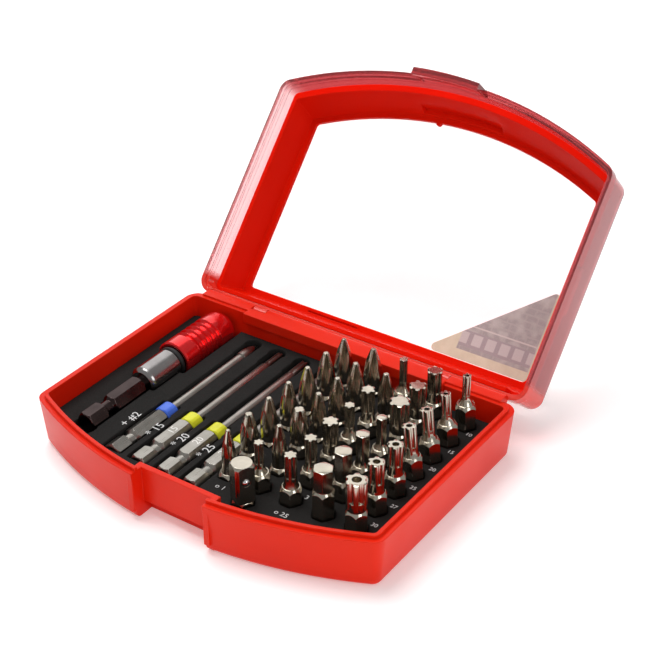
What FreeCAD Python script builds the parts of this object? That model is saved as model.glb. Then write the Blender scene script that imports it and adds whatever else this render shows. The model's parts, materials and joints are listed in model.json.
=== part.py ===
"""Hinged bit case: base tray, foam insert, clear lid with red frame, bit holder, long and short bits.

Millimetres, +X to the right along the hinge, +Y towards the hinge, +Z up.
The origin is the centre of the tray's bottom face.  The lid is drawn shut and then turned open.
"""
import FreeCAD, Part
import math
import os

V = FreeCAD.Vector
X_AXIS = V(1, 0, 0)
Y_AXIS = V(0, 1, 0)
Z_AXIS = V(0, 0, 1)

# ---------------------------------------------------------------- case outline, seen from above
HALF_WIDTH = 65.2          # straight parallel sides
BACK_Y = 47.5              # outer face of the back wall
CORNER_Y = -33.0           # where the sides meet the bowed front
FRONT_Y = -48.6            # middle of the bowed front
FRONT_CORNER_R = 4.5
BACK_CORNER_R = 5.0
MIN_CORNER_R = 1.0
FRONT_SAG = CORNER_Y - FRONT_Y
FRONT_R = (HALF_WIDTH ** 2 + FRONT_SAG ** 2) / (2 * FRONT_SAG)
FRONT_CENTRE_Y = FRONT_Y + FRONT_R

# ---------------------------------------------------------------- base tray
RIM_Z = 17.3               # outer ledge the lid rests on
LIP_Z = 18.4               # raised inner lip
FLOOR_T = 1.6
DRAFT = 1.5                # how far the outer wall leans in at the bottom
BOTTOM_R = 2.2             # rounding along the bottom edge
LEDGE_W = 1.8
WALL_T = 3.0
BACK_WALL_T = 3.8
INNER_DRAFT = 0.8

# ---------------------------------------------------------------- latch recess in the front wall
RECESS_HALF_W = 13.3
RECESS_FACE_Y = FRONT_Y + 5.4
RECESS_WALL_T = 1.9
UNDERCUT_Z = 5.0           # the recess reaches further in below this height
UNDERCUT_D = 3.4

# ---------------------------------------------------------------- hinge
HINGE_Y = 48.2
HINGE_Z = 17.35
BARREL_R = 1.8
KNUCKLE_GAP = 0.3
KNUCKLE_LEFT = (-39.2, -33.8)
KNUCKLE_RIGHT = (33.8, 39.2)
BARREL_HALF_L = KNUCKLE_RIGHT[0] - KNUCKLE_GAP     # the tray's own barrel
DECK_HALF_L = KNUCKLE_RIGHT[1] + KNUCKLE_GAP       # flat deck in front of the barrel
DECK_FRONT_Y = 42.0
WING_HALF_L = 59.5         # narrower wings and barrels carry on outside the knuckles
WING_FRONT_Y = 44.8
DECK_T = 3.6
DECK_Z = HINGE_Z + BARREL_R
HEEL_REACH = 2.05          # the stop heel behind the barrel, measured from the hinge axis
HEEL_DEPTH = (1.05, 2.4)   # top and bottom of the heel below the axis
PIN_R = 0.8
PIN_FIT = 0.02
PIN_RUNNING = 0.05
PIN_INNER_X = 25.0         # inner end of each pin
PIN_INSET = 0.4            # the pins end a little inside the knuckles
OPEN_DEG = 131.9

# ---------------------------------------------------------------- lid shell, drawn shut
SHELL_RIM_Z = RIM_Z + 0.15
SHELL_TOP_Z = 38.5
SHELL_PANEL_T = 1.4
SHELL_WALL_T = 2.0
SHELL_RIM_WALL_T = 1.3     # thinner wall along the first millimetres of the rim
SHELL_REBATE_H = 1.5
SHELL_BAND_H = 4.8         # the rim band stands a little proud of the wall above it
SHELL_BAND_T = 0.35
SHELL_DRAFT = 0.5
SHELL_EDGE_R = 3.6

TAB_HALF_W = 12.8
TAB_T = 1.5
TAB_DROP = 8.0             # how far the latch tab hangs below the rim
TAB_INSET = 0.5            # the tab's face lies just inside the case outline
TAB_HOOK = 1.2             # small hook along the tab's lower edge
KNUCKLE_ARM_H = 4.2        # the arm that carries each knuckle, above the hinge axis
KNUCKLE_WEDGE_H = 2.2

# ---------------------------------------------------------------- lid frame, drawn shut
FRAME_GAP = 0.25
FRAME_RIM_Z = SHELL_RIM_Z + 7.3
FRAME_FLANGE_T = 1.4
FRAME_RIM_W = 1.4
FRAME_EDGE_R = 2.0
WINDOW_SIDE = 8.8          # window edge, measured in from the case outline
WINDOW_FRONT = 10.6
WINDOW_BACK = 8.5
WINDOW_R = 1.6
FLANGE_SIDE = 6.6          # foot of the frame wall, measured in from the case outline
FLANGE_FRONT = 8.6
FLANGE_BACK = 6.2
FRAME_BACK_HALF_L = 57.0   # the frame's back wall reaches further down between these ends
FRAME_BACK_Z = DECK_Z + 1.05
NOTCH_Y = (-1.5, 15.0)     # shallow notch in the right side wall of the frame
NOTCH_DEPTH = 3.0
NOTCH_REACH = 3.4
POCKET_HALF_W = 16.0       # pocket behind the latch, in the front wall of the frame
POCKET_DEPTH = 2.2
SLIT_X = (-30.0, -9.0)     # slit along the back of the frame
SLIT_WIDTH = 0.6
NUB_X = -9.6
NUB_R = 1.0

STICKER_MARGIN = 0.4       # sticker corner, measured in from the window's corner
STICKER_X = 40.0
STICKER_Y = 33.0
STICKER_T = 0.12

# ---------------------------------------------------------------- foam insert
FOAM_Z = 10.8
FOAM_GAP = 0.15
SLOT_GAP = 0.3             # between the foam and anything that lifts out of it
ABOVE = 10.0               # cutters run this far above the foam

# ---------------------------------------------------------------- bits
HEX_AF = 6.35
BIT_LENGTH = 25.0
SHOULDER_R = 2.75          # where the hexagon runs out into the waist
LOBE_ROOT = 0.86           # a waist ends at this share of a star's outer radius
SQUARE = 6.3
SQUARE_TURN_DEG = -30.0
BALL_R = 1.35
BALL_RUNNING = 0.05
BALL_DEPTH = 0.75          # centre of the ball below the square's face
BALL_DROP = 5.4            # and below the square's top
COLUMN_X = (5.2, 16.6, 28.1, 39.7, 51.2)
ROW_FRONT_Y = -24.2
ROW_PITCH = 10.3
ROW_COUNT = 7
COLUMN_TOP_Z = (27.0, 27.2, 27.4, 27.4, 28.2)
LEAN_DEG = {(4, 3): 6.0, (4, 4): 6.5, (4, 5): 5.0}    # by (column, row), towards -X
RAISED = {(4, 6): 1.5}                                # this one isn't pushed all the way in
ADAPTER_Y = -32.6
ADAPTER_LENGTH = 23.0
ADAPTER_TOP_Z = 24.9

LONG_LENGTH = 75.0
LONG_X = (-33.0, -22.8, -12.6, -2.4)
LONG_HEX_Y = -34.6
LONG_AXIS_Z = FOAM_Z + 0.85 - HEX_AF / 2
LONG_TURN_DEG = (27.0, 0.0, 0.0, 0.0)
NECK_Y = 8.3               # middle of the detent groove, from the hex end
NECK_L = 3.2
NECK_R = 2.4
LONG_HEX_L = 24.0
BAND_L = 5.2
BAND_R = 3.45
LONG_SHAFT_R = 2.0
LONG_TIP_R = 2.4           # the cross tip is a little thicker than the shaft
LONG_TIP_L = 7.0

# ---------------------------------------------------------------- bit holder
HOLDER_X = -48.4
HOLDER_HEX_Y = -29.5
HOLDER_AXIS_Z = 11.3
HOLDER_HEX_L = 26.0
SLEEVE_R = 5.3
SLEEVE_START = 27.5
RING_L = 1.4
RING_R = 5.5
COLLAR_START = 44.0
COLLAR_L = 27.0
COLLAR_R = 6.8
COLLAR_SEAT_R = 4.7        # rear part of the sleeve, which the collar slides on
COLLAR_RUNNING = 0.05
COLLAR_TRAVEL = 2.0        # the collar slides back over the retaining ring
SLEEVE_END = COLLAR_START + COLLAR_L - COLLAR_TRAVEL - 0.6
RING_START = COLLAR_START - RING_L - 0.2
SOCKET_AF = HEX_AF + 0.16
SOCKET_DEPTH = 14.0
MAGNET_R = 2.5
MAGNET_L = 3.0
STEM_R = 2.6


# ================================================================ small helpers
def box(x0, x1, y0, y1, z0, z1):
    """Box between two corners."""
    return Part.makeBox(x1 - x0, y1 - y0, z1 - z0, V(x0, y0, z0))


def polygon_prism(points, height):
    """Straight prism standing on a polygon."""
    wire = Part.makePolygon(points + [points[0]])
    return Part.Face(wire).extrude(V(0, 0, height))


def regular_points(count, radius, z, turn_deg=0.0):
    """Corners of a regular polygon round the Z axis."""
    step = 2 * math.pi / count
    turn = math.radians(turn_deg)
    angles = [turn + i * step for i in range(count)]
    return [V(radius * math.cos(angle), radius * math.sin(angle), z) for angle in angles]


def hex_prism(across_flats, z0, z1):
    """Hexagonal bar on the Z axis with two flats facing +Y and -Y."""
    return polygon_prism(regular_points(6, across_flats / math.sqrt(3), z0), z1 - z0)


def turned(profile):
    """Solid of revolution about Z from (radius, height) pairs listed from bottom to top."""
    points = [V(0, 0, profile[0][1])]
    points += [V(r, 0, z) for r, z in profile]
    points += [V(0, 0, profile[-1][1])]
    clean = [points[0]]
    for point in points[1:]:
        if point.distanceToPoint(clean[-1]) > 1e-6:
            clean.append(point)
    face = Part.Face(Part.makePolygon(clean + [clean[0]]))
    return face.revolve(V(0, 0, 0), Z_AXIS, 360)


def arc(a, b, c):
    """Circular edge through three points."""
    return Part.Arc(a, b, c).toShape()


def fuse_all(shapes):
    """One solid out of several overlapping ones."""
    result = shapes[0].multiFuse(shapes[1:])
    return result.removeSplitter()


def placed(shape, x, y, z):
    """Moved copy of a shape."""
    copy = shape.copy()
    copy.translate(V(x, y, z))
    return copy


def laid_along_y(shape, x, y, z):
    """Copy of a shape built on +Z, laid down so that it points along +Y from the given point."""
    copy = shape.copy()
    copy.rotate(V(0, 0, 0), X_AXIS, -90)
    copy.translate(V(x, y, z))
    return copy


def opened(shape):
    """Lid shape turned from shut to open."""
    copy = shape.copy()
    copy.rotate(V(0, HINGE_Y, HINGE_Z), X_AXIS, -OPEN_DEG)
    return copy


def export(shape, node):
    """Write one sub-part, which has to be a single closed solid."""
    if len(shape.Solids) != 1 or not shape.isValid():
        raise ValueError("%s is not one valid solid" % node)
    shape.Solids[0].exportStep("parts/" + node + ".step")


# ================================================================ case outline
def outline(z, side, front=None, back=None, corner_r=None):
    """Closed case outline at height z, moved in by the given distances."""
    front = side if front is None else front
    back = side if back is None else back
    half_w = HALF_WIDTH - side
    back_y = BACK_Y - back
    big_r = FRONT_R - front
    r_back = max(BACK_CORNER_R - side, MIN_CORNER_R) if corner_r is None else corner_r
    r_front = max(FRONT_CORNER_R - side, MIN_CORNER_R) if corner_r is None else corner_r
    fillet_x = half_w - r_front
    fillet_y = FRONT_CENTRE_Y - math.sqrt((big_r - r_front) ** 2 - fillet_x ** 2)
    angle = math.atan2(fillet_y - FRONT_CENTRE_Y, fillet_x)
    touch = V(big_r * math.cos(angle), FRONT_CENTRE_Y + big_r * math.sin(angle), z)
    middle = angle / 2
    right_front = V(fillet_x + r_front * math.cos(middle), fillet_y + r_front * math.sin(middle), z)
    diagonal = r_back * (1 - math.sqrt(0.5))

    def mirrored(point):
        return V(-point.x, point.y, point.z)

    side_front = V(half_w, fillet_y, z)
    side_back = V(half_w, back_y - r_back, z)
    corner = V(half_w - diagonal, back_y - diagonal, z)
    back_right = V(half_w - r_back, back_y, z)
    edges = [
        Part.makeLine(side_front, side_back),
        arc(side_back, corner, back_right),
        Part.makeLine(back_right, mirrored(back_right)),
        arc(mirrored(back_right), mirrored(corner), mirrored(side_back)),
        Part.makeLine(mirrored(side_back), mirrored(side_front)),
        arc(mirrored(side_front), mirrored(right_front), mirrored(touch)),
        arc(mirrored(touch), V(0, FRONT_CENTRE_Y - big_r, z), touch),
        arc(touch, right_front, side_front),
    ]
    return Part.Wire(edges)


def slab(lower, upper):
    """Solid between two outlines."""
    return Part.makeLoft([lower, upper], True, True)


def rounded(solid, z, radius):
    """Solid with its outer edges at height z rounded."""
    edges = [e for e in solid.Edges if abs(e.BoundBox.ZMin - z) < 1e-4 and abs(e.BoundBox.ZMax - z) < 1e-4]
    return solid.makeFillet(radius, edges)


def front_arc_y(x, inset=0.0):
    """Y of the bowed front at a given x."""
    return FRONT_CENTRE_Y - math.sqrt((FRONT_R - inset) ** 2 - x ** 2)


# ================================================================ base tray
def hinge_cut(span):
    """Room for one lid knuckle in the tray's back edge."""
    x0, x1 = span
    reach = BARREL_R + KNUCKLE_GAP
    return box(
        x0 - KNUCKLE_GAP, x1 + KNUCKLE_GAP,
        HINGE_Y - reach, HINGE_Y + 6, HINGE_Z - reach, DECK_Z + 2,
    )


def pin_axis(x0, x1, radius):
    """Cylinder on the hinge axis."""
    return Part.makeCylinder(radius, x1 - x0, V(x0, HINGE_Y, HINGE_Z), X_AXIS)


def hinge_deck():
    """Flat deck, barrels and stop heel along the tray's back edge."""
    deck = box(-DECK_HALF_L, DECK_HALF_L, DECK_FRONT_Y, HINGE_Y, DECK_Z - DECK_T, DECK_Z)
    barrel = pin_axis(-BARREL_HALF_L, BARREL_HALF_L, BARREL_R)
    heel_top, heel_bottom = HEEL_DEPTH
    heel = box(
        -BARREL_HALF_L, BARREL_HALF_L,
        HINGE_Y - 1, HINGE_Y + HEEL_REACH, HINGE_Z - heel_bottom, HINGE_Z - heel_top,
    )
    wings = []
    for x0, x1 in ((-WING_HALF_L, -DECK_HALF_L), (DECK_HALF_L, WING_HALF_L)):
        wings.append(box(x0, x1, WING_FRONT_Y, HINGE_Y, DECK_Z - DECK_T, DECK_Z))
        wings.append(pin_axis(x0, x1, BARREL_R))
    return [deck, barrel, heel] + wings


def base_tray():
    """Red tray: drafted walls, stepped rim, latch recess, hinge deck."""
    shell = rounded(slab(outline(0, DRAFT), outline(RIM_Z, 0)), 0, BOTTOM_R)
    lip = slab(outline(RIM_Z - 2, LEDGE_W), outline(LIP_Z, LEDGE_W))
    cavity = slab(
        outline(FLOOR_T, WALL_T + INNER_DRAFT, back=BACK_WALL_T + INNER_DRAFT),
        outline(LIP_Z + 1, WALL_T, back=BACK_WALL_T),
    )
    solid = fuse_all([shell, lip]).cut(cavity)
    inner_y = RECESS_FACE_Y + RECESS_WALL_T
    recess_wall = box(-RECESS_HALF_W - 2, RECESS_HALF_W + 2, FRONT_Y + 1, inner_y, UNDERCUT_Z - 2, RIM_Z)
    hump = box(
        -RECESS_HALF_W - 2, RECESS_HALF_W + 2,
        FRONT_Y + 3, RECESS_FACE_Y + UNDERCUT_D + RECESS_WALL_T, 0.2, UNDERCUT_Z + RECESS_WALL_T,
    )
    solid = fuse_all([solid, recess_wall, hump] + hinge_deck())
    recess = box(-RECESS_HALF_W, RECESS_HALF_W, FRONT_Y - 5, RECESS_FACE_Y, -1, LIP_Z + 5)
    undercut_profile = [
        V(-RECESS_HALF_W, RECESS_FACE_Y - 1, UNDERCUT_Z),
        V(-RECESS_HALF_W, RECESS_FACE_Y, UNDERCUT_Z),
        V(-RECESS_HALF_W, RECESS_FACE_Y + UNDERCUT_D, UNDERCUT_Z - 2),
        V(-RECESS_HALF_W, RECESS_FACE_Y + UNDERCUT_D, -1),
        V(-RECESS_HALF_W, RECESS_FACE_Y - 1, -1),
    ]
    wire = Part.makePolygon(undercut_profile + [undercut_profile[0]])
    undercut = Part.Face(wire).extrude(V(2 * RECESS_HALF_W, 0, 0))
    solid = solid.cut(fuse_all([recess, undercut]))
    for span in (KNUCKLE_LEFT, KNUCKLE_RIGHT):
        solid = solid.cut(hinge_cut(span))
    hole_end = PIN_INNER_X - 1
    for x0, x1 in ((-BARREL_HALF_L - 1, -hole_end), (hole_end, BARREL_HALF_L + 1)):
        solid = solid.cut(pin_axis(x0, x1, PIN_R + PIN_FIT))
    return solid.removeSplitter()


def hinge_pin(span):
    """Steel pin through one lid knuckle into the tray's barrel."""
    x0, x1 = span
    if x0 < 0:
        return pin_axis(x0 + PIN_INSET, -PIN_INNER_X, PIN_R)
    return pin_axis(PIN_INNER_X, x1 - PIN_INSET, PIN_R)


# ================================================================ lid
def shell_knuckle(span):
    """Clear knuckle hanging from the shell's back wall."""
    x0, x1 = span
    ring = pin_axis(x0, x1, BARREL_R)
    arm_top = HINGE_Z + KNUCKLE_ARM_H
    arm = box(x0, x1, HINGE_Y - BARREL_R, HINGE_Y + BARREL_R, HINGE_Z, arm_top)
    slope = [
        V(x0, HINGE_Y + BARREL_R, arm_top),
        V(x0, BACK_Y - 0.5, arm_top + KNUCKLE_WEDGE_H),
        V(x0, BACK_Y - 0.5, arm_top),
    ]
    wedge = Part.Face(Part.makePolygon(slope + [slope[0]])).extrude(V(x1 - x0, 0, 0))
    return fuse_all([ring, arm, wedge])


def shell_tab():
    """Curved latch tab under the middle of the front rim, with a hook and two side ribs."""
    face_y = front_arc_y(0, TAB_INSET)
    big_r = FRONT_R - TAB_INSET
    z0 = SHELL_RIM_Z - TAB_DROP
    height = TAB_DROP + SHELL_BAND_H
    foot = V(0, FRONT_CENTRE_Y, z0)
    hook_h = 1.3
    ring = Part.makeCylinder(big_r, height, foot).cut(Part.makeCylinder(big_r - TAB_T, height, foot))
    plate = ring.common(box(-TAB_HALF_W, TAB_HALF_W, face_y - 1, face_y + 4, z0, z0 + height))
    hook = Part.makeCylinder(big_r - TAB_T + 0.2, hook_h, foot)
    hook = hook.cut(Part.makeCylinder(big_r - TAB_T - TAB_HOOK, hook_h, foot))
    hook = hook.common(box(-TAB_HALF_W, TAB_HALF_W, face_y, face_y + 5, z0, z0 + hook_h))
    rib_x = TAB_HALF_W - 0.5
    rib_y = (face_y + 0.8, face_y + TAB_T + 1)
    ribs = [box(x - 0.5, x + 0.5, *rib_y, z0, SHELL_RIM_Z + 1) for x in (-rib_x, rib_x)]
    return fuse_all([plate, hook] + ribs)


def lid_shell():
    """Clear outer shell of the lid with its rim band, knuckles and latch tab."""
    upper = slab(
        outline(SHELL_RIM_Z + 0.2, SHELL_BAND_T),
        outline(SHELL_TOP_Z, SHELL_BAND_T + SHELL_DRAFT),
    )
    upper = rounded(upper, SHELL_TOP_Z, SHELL_EDGE_R)
    band = slab(outline(SHELL_RIM_Z, 0), outline(SHELL_RIM_Z + SHELL_BAND_H, 0))
    solid = fuse_all([upper, band])
    hollow = slab(
        outline(SHELL_RIM_Z - 1, SHELL_WALL_T),
        outline(SHELL_TOP_Z - SHELL_PANEL_T, SHELL_WALL_T + SHELL_DRAFT),
    )
    hollow = rounded(hollow, SHELL_TOP_Z - SHELL_PANEL_T, SHELL_EDGE_R - 1.4)
    rebate = slab(
        outline(SHELL_RIM_Z - 1, SHELL_RIM_WALL_T),
        outline(SHELL_RIM_Z + SHELL_REBATE_H, SHELL_RIM_WALL_T),
    )
    solid = solid.cut(fuse_all([hollow, rebate]))
    barrel_room = box(
        -WING_HALF_L - 0.6, WING_HALF_L + 0.6,
        DECK_FRONT_Y, HINGE_Y + 5, SHELL_RIM_Z - 1, DECK_Z + 0.35,
    )
    solid = solid.cut(barrel_room)
    solid = fuse_all([solid, shell_tab(), shell_knuckle(KNUCKLE_LEFT), shell_knuckle(KNUCKLE_RIGHT)])
    for x0, x1 in (KNUCKLE_LEFT, KNUCKLE_RIGHT):
        solid = solid.cut(pin_axis(x0 - 1, x1 + 1, PIN_R + PIN_RUNNING))
    return solid.removeSplitter()


def lid_frame():
    """Red frame inside the shell, with a wide window."""
    inset = SHELL_WALL_T + FRAME_GAP
    top = SHELL_TOP_Z - SHELL_PANEL_T - FRAME_GAP
    outer = slab(outline(FRAME_RIM_Z, inset), outline(top, inset + SHELL_DRAFT))
    outer = rounded(outer, top, FRAME_EDGE_R)
    rim = inset + FRAME_RIM_W
    hollow = slab(
        outline(FRAME_RIM_Z - 0.01, rim, front=rim + 0.9),
        outline(top - FRAME_FLANGE_T, FLANGE_SIDE, front=FLANGE_FRONT, back=FLANGE_BACK),
    )
    window = slab(
        outline(top - 4, WINDOW_SIDE, front=WINDOW_FRONT, back=WINDOW_BACK, corner_r=WINDOW_R),
        outline(top + 1, WINDOW_SIDE, front=WINDOW_FRONT, back=WINDOW_BACK, corner_r=WINDOW_R),
    )
    back_y = BACK_Y - inset
    back_wall = box(
        -FRAME_BACK_HALF_L, FRAME_BACK_HALF_L,
        back_y - FRAME_RIM_W, back_y, FRAME_BACK_Z, FRAME_RIM_Z,
    )
    solid = fuse_all([outer.cut(fuse_all([hollow, window])), back_wall])
    notch_x = HALF_WIDTH - inset
    notch_z = (FRAME_RIM_Z - 1, FRAME_RIM_Z + NOTCH_DEPTH)
    solid = solid.cut(box(notch_x - NOTCH_REACH, notch_x + NOTCH_REACH, *NOTCH_Y, *notch_z))
    pocket_z = (FRAME_RIM_Z + 3.5, top - FRAME_FLANGE_T - 0.8)
    pocket_r = FRONT_R - FLANGE_FRONT + POCKET_DEPTH
    pocket = Part.makeCylinder(pocket_r, pocket_z[1] - pocket_z[0], V(0, FRONT_CENTRE_Y, pocket_z[0]))
    pocket = pocket.common(box(-POCKET_HALF_W, POCKET_HALF_W, FRONT_Y, FRONT_Y + 12, *pocket_z))
    slit_y = BACK_Y - FLANGE_BACK - 2 * SLIT_WIDTH
    slit = box(*SLIT_X, slit_y, slit_y + SLIT_WIDTH, top - FRAME_FLANGE_T - 1, top - FRAME_FLANGE_T / 2)
    nub_foot = V(NUB_X, front_arc_y(NUB_X, WINDOW_FRONT), top - FRAME_FLANGE_T)
    nub = Part.makeCylinder(NUB_R, FRAME_FLANGE_T, nub_foot)
    return fuse_all([solid.cut([pocket, slit]), nub])


def label_sticker():
    """Triangular sticker on the outside of the clear panel, in a back corner of the window."""
    x1 = HALF_WIDTH - WINDOW_SIDE - STICKER_MARGIN
    y1 = BACK_Y - WINDOW_BACK - STICKER_MARGIN
    points = [V(x1, y1, 0), V(x1 - STICKER_X, y1, 0), V(x1, y1 - STICKER_Y, 0)]
    plate = placed(polygon_prism(points, STICKER_T), 0, 0, SHELL_TOP_Z + 0.02)
    upright = [e for e in plate.Edges if e.BoundBox.ZLength > STICKER_T / 2]
    return plate.makeFillet(1.5, upright)


# ================================================================ short bits
def star_prism(diameter, z0, z1):
    """Six-lobed bar on the Z axis."""
    r_out = diameter / 2
    r_in = 0.72 * r_out
    lobe = math.radians(13)
    edges = []
    for i in range(6):
        centre = i * math.pi / 3
        half = math.pi / 6
        start = V(0.965 * r_out * math.cos(centre - lobe), 0.965 * r_out * math.sin(centre - lobe), z0)
        top = V(r_out * math.cos(centre), r_out * math.sin(centre), z0)
        end = V(0.965 * r_out * math.cos(centre + lobe), 0.965 * r_out * math.sin(centre + lobe), z0)
        valley = V(r_in * math.cos(centre + half), r_in * math.sin(centre + half), z0)
        after = centre + math.pi / 3 - lobe
        following = V(0.965 * r_out * math.cos(after), 0.965 * r_out * math.sin(after), z0)
        edges.append(arc(start, top, end))
        edges.append(arc(end, valley, following))
    return Part.Face(Part.Wire(edges)).extrude(V(0, 0, z1 - z0))


def bit_shank(hex_top):
    """Hexagonal shank with a chamfered foot and scalloped shoulder."""
    corner = HEX_AF / math.sqrt(3)
    envelope = turned([
        (corner - 0.6, 0),
        (corner + 0.02, 0.6),
        (corner + 0.02, hex_top - 1.3),
        (SHOULDER_R, hex_top),
    ])
    return hex_prism(HEX_AF, 0, hex_top).common(envelope)


def neck(z0, z1, r0, r1):
    """Waisted transition between the shank and the blade."""
    steps = 5
    profile = [(r0, z0)]
    for i in range(1, steps + 1):
        t = i / steps
        profile.append((r0 + (r1 - r0) * math.sin(t * math.pi / 2), z0 + (z1 - z0) * t))
    return turned(profile)


def bevelled(blade, radius, top, bevel):
    """Blade with its top edge bevelled."""
    return blade.common(turned([(radius + 1, 0), (radius + 1, top - bevel), (radius - bevel, top)]))


def star_bit(diameter, hole=False, blade_l=9.0, length=BIT_LENGTH):
    """Six-lobed bit, optionally with a hole down the middle of its tip."""
    hex_top = length - blade_l - 3.2
    blade = star_prism(diameter, hex_top + 1.0, length)
    blade = bevelled(blade, diameter / 2, length, 0.08 * diameter)
    core = neck(hex_top - 0.5, hex_top + 3.2, SHOULDER_R, LOBE_ROOT * diameter / 2)
    solid = fuse_all([bit_shank(hex_top), core, blade])
    if hole:
        solid = solid.cut(Part.makeCylinder(0.22 * diameter, 3.0, V(0, 0, length - 3.0)))
    return solid


def hex_bit(across_flats, blade_l):
    """Hexagonal-drive bit."""
    hex_top = BIT_LENGTH - blade_l - 2.6
    corner = across_flats / math.sqrt(3)
    blade = hex_prism(across_flats, hex_top + 0.5, BIT_LENGTH)
    blade = bevelled(blade, corner, BIT_LENGTH, 0.5)
    core = neck(hex_top - 0.5, hex_top + 2.6, SHOULDER_R, across_flats / 2 - 0.05)
    return fuse_all([bit_shank(hex_top), core, blade])


def flute(root, open_deg, turn_deg):
    """V-shaped cutter through (root radius, height) pairs listed from the tip to where it runs out."""
    wires = []
    for i, (r, z) in enumerate(root):
        width = 0.2 if i == len(root) - 1 else 4.0
        half = math.tan(math.radians(open_deg / 2)) * width
        points = [V(r, 0, z), V(r + width, half, z), V(r + width, -half, z)]
        wires.append(Part.makePolygon(points + [points[0]]))
    cutter = Part.makeLoft(wires, True, True)
    cutter.rotate(V(0, 0, 0), Z_AXIS, turn_deg)
    return cutter


def cross_tip(body_r, tip_r, cone_l, length, ribs):
    """Cross-shaped tip: cone with four V flutes; ribs adds a finer second cross."""
    point = turned([
        (body_r, length - cone_l - 3.0),
        (body_r, length - cone_l),
        (0.62 * body_r + 0.38 * tip_r, length - 0.45 * cone_l),
        (tip_r, length - 0.25),
        (tip_r - 0.25, length),
    ])
    deep = [
        (0.55 * tip_r, length + 0.5),
        (0.55 * tip_r + 0.18 * body_r, length - 0.55 * cone_l),
        (body_r + 0.1, length - cone_l - 1.0),
    ]
    for i in range(4):
        point = point.cut(flute(deep, 92, 45 + 90 * i))
    if ribs:
        fine = [(0.8 * tip_r, length + 0.5), (body_r, length - 0.8 * cone_l)]
        for i in range(4):
            point = point.cut(flute(fine, 30, 90 * i))
    return point


def cross_bit(body_r, tip_r, cone_l=9.0, ribs=False):
    """Cross-head bit; the ones with ribs also have the finer second cross."""
    length = BIT_LENGTH
    hex_top = length - cone_l - 5.5
    core = neck(hex_top - 0.5, length - cone_l - 2.8, SHOULDER_R, body_r)
    return fuse_all([bit_shank(hex_top), core, cross_tip(body_r, tip_r, cone_l, length, ribs)])


def ball_seat():
    """Centre of the detent ball and the direction it points in."""
    turn = math.radians(SQUARE_TURN_DEG)
    outward = V(math.cos(turn), math.sin(turn), 0)
    return outward * (SQUARE / 2 - BALL_DEPTH) + V(0, 0, ADAPTER_LENGTH - BALL_DROP), outward


def square_adapter():
    """Square-drive adapter with a drilled seat for its ball in one face."""
    hex_top = 10.5
    corner_r = 3.85
    half = SQUARE / 2
    top = ADAPTER_LENGTH
    head = box(-half, half, -half, half, hex_top - 0.4, top)
    head = head.common(turned([(corner_r, 0), (corner_r, top - 0.7), (corner_r - 0.7, top)]))
    head.rotate(V(0, 0, 0), Z_AXIS, SQUARE_TURN_DEG)
    waist = neck(hex_top - 1, hex_top + 0.4, SHOULDER_R, half - 0.25)
    centre, outward = ball_seat()
    drill_foot = centre - outward * (BALL_R + BALL_RUNNING)
    drilled = Part.makeCylinder(BALL_R + BALL_RUNNING, SQUARE, drill_foot, outward)
    return fuse_all([bit_shank(hex_top), waist, head]).cut(drilled)


def adapter_ball():
    """Spring-loaded detent ball in the square's side."""
    centre, outward = ball_seat()
    return Part.makeSphere(BALL_R, centre, outward)


def short_bits():
    """Every short bit: (node, column, row, solid)."""
    star_sizes = (6.75, 5.2, 4.9, 4.35, 3.95, 3.35, 2.8)
    cross_a = (
        (2.3, 0.75, 9.5), (2.9, 1.25, 7.5), (3.0, 0.95, 9.5), (3.0, 0.95, 9.5),
        (3.1, 0.95, 9.5), (3.1, 1.0, 9.5), (3.3, 0.75, 10.5),
    )
    rows = []
    for row, (body_r, tip_r, cone_l) in enumerate(cross_a):
        rows.append(("cross", 0, row, cross_bit(body_r, tip_r, cone_l)))
    rows.append(("star", 1, 0, star_bit(3.0, blade_l=7.5)))
    rows.append(("cross", 1, 1, cross_bit(2.4, 0.9, 9.0, ribs=True)))
    rows.append(("cross", 1, 2, cross_bit(3.0, 1.7, 6.5, ribs=True)))
    for row, body_r, tip_r in ((3, 2.9, 1.0), (4, 3.0, 0.95), (5, 3.1, 0.95), (6, 3.2, 0.9)):
        rows.append(("cross", 1, row, cross_bit(body_r, tip_r, 9.5, ribs=True)))
    for row, size in ((0, 3.95), (1, 3.95), (2, 5.07), (3, 3.35), (4, 4.5)):
        rows.append(("star", 2, row, star_bit(size, blade_l=8.0)))
    rows.append(("cross", 2, 5, cross_bit(2.6, 1.0, 8.5, ribs=True)))
    rows.append(("star", 2, 6, star_bit(2.8, blade_l=8.5)))
    for row, size, blade_l in ((0, 5.5, 5.0), (1, 5.0, 7.5), (2, 4.0, 8.5), (3, 3.0, 8.5)):
        rows.append(("hex", 3, row, hex_bit(size, blade_l)))
    for row, size in ((4, 6.75), (5, 5.6), (6, 5.07)):
        rows.append(("star", 3, row, star_bit(size, blade_l=8.0)))
    for row, size in enumerate(star_sizes):
        rows.append(("starhole", 4, row, star_bit(size, hole=True, blade_l=7.2)))
    return rows


def stood(shape, column, row, z):
    """Shape built on the Z axis, moved to its place in the grid at height z and leant like its hole."""
    x = COLUMN_X[column]
    y = ROW_FRONT_Y + row * ROW_PITCH
    copy = placed(shape, x, y, z)
    copy.rotate(V(x, y, FOAM_Z), Y_AXIS, -LEAN_DEG.get((column, row), 0.0))
    return copy


def stood_bit(shape, column, row):
    """Short bit standing in its hole."""
    raised = RAISED.get((column, row), 0.0)
    return stood(shape, column, row, COLUMN_TOP_Z[column] + raised - BIT_LENGTH)


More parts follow.
